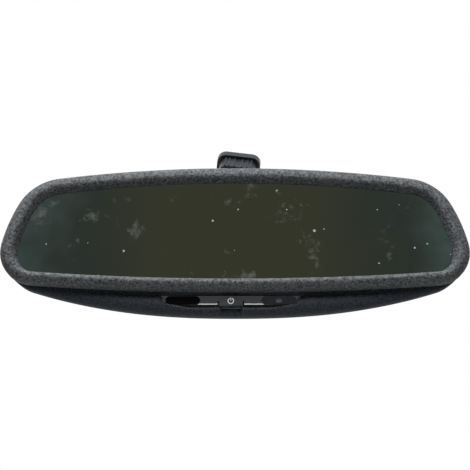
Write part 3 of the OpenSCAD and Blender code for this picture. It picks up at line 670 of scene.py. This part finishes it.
def housing():
    phis = [math.radians(v) for v in (0, 6, 12, 19, 26, 33, 40, 47, 54, 61, 67, 73, 78, 82, 85, 87)]
    rim_in, skin_in = 1, 0.4
    outer = [dome_ring(skin_in, DOME_Y, 0, phi) for phi in reversed(phis)]
    lead = [
        ring(skin_in, SPLIT_Y + 1.3, 0.93, CHIN_BULGE * 0.5),
        ring(skin_in, SPLIT_Y + 0.85, 0.87, CHIN_BULGE * 0.7),
        ring(skin_in, SPLIT_Y + 0.5, 0.8, CHIN_BULGE * 0.85),
        ring(skin_in, SPLIT_Y + 0.25, 0.71, CHIN_BULGE * 0.95),
        ring(skin_in, SPLIT_Y + 0.1, 0.6, CHIN_BULGE),
        ring(skin_in, SPLIT_Y + 0.03, 0.48, CHIN_BULGE * 0.96),
        ring(skin_in, SPLIT_Y, 0.35, CHIN_BULGE * 0.85), ring(skin_in, SPLIT_Y, 0.25, CHIN_BULGE * 0.45),
        ring(skin_in, SPLIT_Y, 0.17), ring(rim_in, SPLIT_Y),
        ring(2.3, SPLIT_Y), ring(2.3, SPLIT_Y - 3), ring(3.7, SPLIT_Y - 3), ring(3.7, CHIN_BACK),
        ring(skin_in + WALL, CHIN_BACK, 0.97),
    ]
    inner = [dome_ring(skin_in + WALL, DOME_Y + 1, 1 + WALL, phi) for phi in phis[::2] + [phis[-1]]]
    bm = bmesh.new()
    bridge(bm, outer + lead + inner, cap=True)
    shell = finish_piece(bm, "housing_shell", HOUSING_ABS, "head", ["rear_housing"])
    cutters = []
    bm = bmesh.new()
    arm_tube(bm, CUP_R + 0.5, -11.5, 40)
    cutters.append(cutter(bm))
    bm = bmesh.new()
    prism(bm, panel_points(0.1), CUT_FRONT, PANEL_FRONT + PANEL_T)
    cutters.append(cutter(bm))
    for side in (-1, 1):
        bm = bmesh.new()
        window = oval_points(WINDOW_W, WINDOW_H, 0.1, CONTROL_X + side * WINDOW_X, WINDOW_Z)
        prism(bm, window, CUT_FRONT, CHIN_BACK + 1)
        cutters.append(cutter(bm))
    bm = bmesh.new()
    prism(bm, button_points(0.25), CUT_FRONT, CHIN_BACK + 1.1)
    cutters.append(cutter(bm))
    # Finger notch under the key
    bm = bmesh.new()
    low = BUTTON_Z - BUTTON_H / 2
    half = BUTTON_W / 2 - 0.6
    notch = [(-half, low + 0.5), (half, low + 0.5), (half * 0.8, low - 6), (-half * 0.8, low - 6)]
    prism(bm, [(x + CONTROL_X, z) for x, z in rounded(notch, 0.6)], CUT_FRONT, SPLIT_Y + 1.2)
    cutters.append(cutter(bm))
    bm = bmesh.new()
    port = [
        (PORT_X + sx * PORT_W / 2, PORT_Z + sz * PORT_H / 2)
        for sx, sz in ((-1, -1), (1, -1), (1, 1), (-1, 1))
    ]
    prism(bm, rounded(port, 0.5), 22, 50)
    cutters.append(cutter(bm))
    bm = bmesh.new()
    prism(bm, circle_points(2.45, 32, AMBIENT_X, PORT_Z), 22, 50)
    cutters.append(cutter(bm))
    for side in (-1, 1):
        bm = bmesh.new()
        prism(bm, circle_points(3.3, 40, side * HOUSE_SCREW_X, HOUSE_SCREW_Z), HOUSE_SEAT_Y, 50)
        cutters.append(cutter(bm))
        for k in range(5):
            bm = bmesh.new()
            x = side * (36 + k * 4)
            prism(bm, oval_points(13, 1.6, 0, 0, 0, 6), 0, 40)
            turn = Matrix.Translation((x, DOME_Y + 4, HALF_H - 17.5)) @ Matrix.Rotation(math.pi / 2, 4, "Y")
            cutters.append(cutter(bm, turn=turn))
    cut(shell, cutters)
    shell.data.shade_smooth()
    return shell


housing()

# ---- Chin strip: glossy and hollowed, its lower edge comes forward and faces up ----


def strip_low(x):
    """The strip's lower edge: level in the middle, rising in two runs towards each end."""
    reach = abs(x)
    if reach < PANEL_HALF - 16:
        return PANEL_LOW
    if reach < PANEL_HALF - 3:
        return PANEL_LOW + 2.4 * (reach - PANEL_HALF + 16) / 13
    return PANEL_LOW + 2.4 + (PANEL_H - 2.7) * (reach - PANEL_HALF + 3) / 3


def chin_strip():
    columns, rows = 104, 30
    ledge, rise = 1.5, 3.4
    bm = bmesh.new()
    front, back = [], []
    for i in range(columns + 1):
        x = -PANEL_HALF + 2 * PANEL_HALF * i / columns
        low = strip_low(x)
        fade = min(1, (PANEL_HALF - abs(x)) / 6)
        line = []
        for k in range(rows + 1):
            z = PANEL_TOP + (low - PANEL_TOP) * k / rows
            near = max(0, 1 - (z - low) / rise)
            line.append(bm.verts.new((x + CONTROL_X, PANEL_FRONT - ledge * fade * near**2, z)))
        front.append(line)
        back.append([bm.verts.new((x + CONTROL_X, PANEL_FRONT + PANEL_T, z)) for z in (PANEL_TOP, low)])
    for i in range(columns):
        for k in range(rows):
            bm.faces.new((front[i][k], front[i][k + 1], front[i + 1][k + 1], front[i + 1][k]))
        bm.faces.new((back[i][0], back[i + 1][0], back[i + 1][1], back[i][1]))
        bm.faces.new((front[i][0], front[i + 1][0], back[i + 1][0], back[i][0]))
        bm.faces.new((front[i][rows], back[i][1], back[i + 1][1], front[i + 1][rows]))
    bm.faces.new([*front[0], back[0][1], back[0][0]])
    bm.faces.new([*reversed(front[-1]), back[-1][0], back[-1][1]])
    strip = finish_piece(bm, "chin_strip", PIANO, "head", ["chin_panel"])
    cutters = []
    for side in (-1, 1):
        bm = bmesh.new()
        prism(bm, oval_points(WINDOW_W, WINDOW_H, 0.05, CONTROL_X + side * WINDOW_X, WINDOW_Z), 0, 12)
        cutters.append(cutter(bm))
    bm = bmesh.new()
    prism(bm, button_points(0.2), 0, 12)
    cutters.append(cutter(bm))
    cut(strip, cutters)
    return strip


chin_strip()

# ---- Lamp guide: the small light block that shows at the middle of the right window ----


def lamp_guide():
    bm = bmesh.new()
    block = oval_points(3.4, 2.2, 0, CONTROL_X + WINDOW_X, WINDOW_Z, 8)
    prism(bm, block, PANEL_FRONT + 0.17, PANEL_FRONT + 0.5)
    finish_piece(bm, "lamp_guide", FROSTED, "head", smooth=False)


lamp_guide()

# ---- Power key: an arched cap with a worn edge, its flange and its stem ----


def power_key():
    section = [
        (-1.1, BUTTON_FRONT + 0.03), (-0.5, BUTTON_FRONT + 0.03), (-0.2, BUTTON_FRONT + 0.12),
        (-0.04, BUTTON_FRONT + 0.32), (0, BUTTON_FRONT + 0.7), (0, FLANGE_Y), (0.8, FLANGE_Y),
        (0.8, FLANGE_Y + 1),
    ]
    bm = bmesh.new()
    loops = []
    for grow, y in section:
        loops.append([bm.verts.new((x, y, z)) for x, z in button_points(grow)])
    n = len(loops[0])
    for a, b in zip(loops, loops[1:]):
        for i in range(n):
            j = (i + 1) % n
            bm.faces.new((a[i], a[j], b[j], b[i]))
    bm.faces.new(loops[0])
    bm.faces.new(list(reversed(loops[-1])))
    low, high = box_mm("switch_plunger")
    stem = circle_points(1.5, 24, (low[0] + high[0]) / 2 - HEAD_AT.x, (low[2] + high[2]) / 2 - HEAD_AT.z)
    prism(bm, stem, FLANGE_Y + 0.9, low[1] - HEAD_AT.y)
    return finish_piece(bm, "power_key", KEY, "button", ["power_button"], smooth=False)


power_key()

# ---- Camera, light and surroundings ----

TARGET_DROP = 3.8
TARGET = Vector((HEAD_AT.x, HEAD_AT.y, HEAD_AT.z - TARGET_DROP)) * MM
CAMERA_TILT = math.radians(-16)
CAMERA_RANGE = 0.6
VIEW_WIDTH = 0.2608
SENSOR_MM = 36
FLOOR_BELOW = 0.5
FLOOR_HALF = 8

camera = bpy.data.cameras.new("camera")
camera.sensor_width = SENSOR_MM
camera.lens = SENSOR_MM * CAMERA_RANGE / VIEW_WIDTH
viewer = bpy.data.objects.new("camera", camera)
offset = Vector((0, -math.cos(CAMERA_TILT), math.sin(CAMERA_TILT))) * CAMERA_RANGE
viewer.location = TARGET + offset
viewer.rotation_euler = (-offset).to_track_quat("-Z", "Y").to_euler()
bpy.context.scene.collection.objects.link(viewer)
bpy.context.scene.camera = viewer


def area_light(name, place_at, size, watts, aim=TARGET):
    lamp = bpy.data.lights.new(name, "AREA")
    lamp.shape = "RECTANGLE"
    lamp.size, lamp.size_y = size
    lamp.energy = watts
    holder = bpy.data.objects.new(name, lamp)
    holder.location = place_at
    holder.rotation_euler = (Vector(aim) - Vector(place_at)).to_track_quat("-Z", "Y").to_euler()
    bpy.context.scene.collection.objects.link(holder)
    return holder


# The floor lies well below the head, so it only carries a soft shadow
bm = bmesh.new()
bmesh.ops.create_grid(bm, x_segments=1, y_segments=1, size=FLOOR_HALF)
floor_mesh = bpy.data.meshes.new("floor")
bm.to_mesh(floor_mesh)
bm.free()
floor = bpy.data.objects.new("floor", floor_mesh)
floor.location = (0, 0, TARGET.z - FLOOR_BELOW)
bpy.context.scene.collection.objects.link(floor)
paper, paper_tree, paper_shader = material("floor_paper")
paper_shader.inputs["Base Color"].default_value = linear("#f2f2f0")
paper_shader.inputs["Roughness"].default_value = 0.9
floor_mesh.materials.append(paper)


def seen_directly(tree):
    """1 for the rays that look at a surface straight, in a reflection or through glass."""
    path = tree.nodes.new("ShaderNodeLightPath")
    first = add(tree, "Math", {"operation": "MAXIMUM"})
    tree.links.new(path.outputs["Is Camera Ray"], first.inputs[0])
    tree.links.new(path.outputs["Is Transmission Ray"], first.inputs[1])
    both = add(tree, "Math", {"operation": "MAXIMUM"})
    tree.links.new(first.outputs["Value"], both.inputs[0])
    tree.links.new(path.outputs["Is Glossy Ray"], both.inputs[1])
    return both.outputs["Value"]


# The paper reads nearly white, and a fifth of its own shading keeps the object's shadow
keep_white = add(paper_tree, "Math", {"operation": "MULTIPLY"})
paper_tree.links.new(seen_directly(paper_tree), keep_white.inputs[0])
keep_white.inputs[1].default_value = 0.8
glow = add(paper_tree, "Emission", {"Color": (1, 1, 1, 1), "Strength": 1})
blend = add(paper_tree, "MixShader")
paper_tree.links.new(keep_white.outputs["Value"], blend.inputs["Fac"])
paper_tree.links.new(paper_shader.outputs["BSDF"], blend.inputs[1])
paper_tree.links.new(glow.outputs["Emission"], blend.inputs[2])
paper_tree.links.new(blend.outputs["Shader"], paper_tree.nodes["Material Output"].inputs["Surface"])

area_light("key", TARGET + Vector((-0.2, -0.42, 0.9)), (0.3, 0.3), 14)
# A long low softbox draws the bright streak along the chin strip's ledge. It shows in gloss alone.
strip_light = area_light("strip", TARGET + Vector((0, -0.75, 0.55)), (1, 0.2), 12)
strip_light.visible_diffuse = False
# The fill lights the front faces softly and stays out of every reflection
fill_light = area_light("fill", TARGET + Vector((0.1, -0.75, 0.5)), (0.5, 0.3), 4)
fill_light.visible_glossy = False

world = bpy.data.worlds.new("studio")
bpy.context.scene.world = world
world.use_nodes = True
sky = world.node_tree
plain = sky.nodes["Background"]
plain.inputs["Color"].default_value = linear("#e6eaee")
plain.inputs["Strength"].default_value = 0.035
white = add(sky, "Background", {"Color": (1, 1, 1, 1), "Strength": 1})
choose = add(sky, "MixShader")
sky.links.new(seen_directly(sky), choose.inputs["Fac"])
sky.links.new(plain.outputs["Background"], choose.inputs[1])
sky.links.new(white.outputs["Background"], choose.inputs[2])
sky.links.new(choose.outputs["Shader"], sky.nodes["World Output"].inputs["Surface"])

bpy.context.scene.view_settings.view_transform = "Standard"
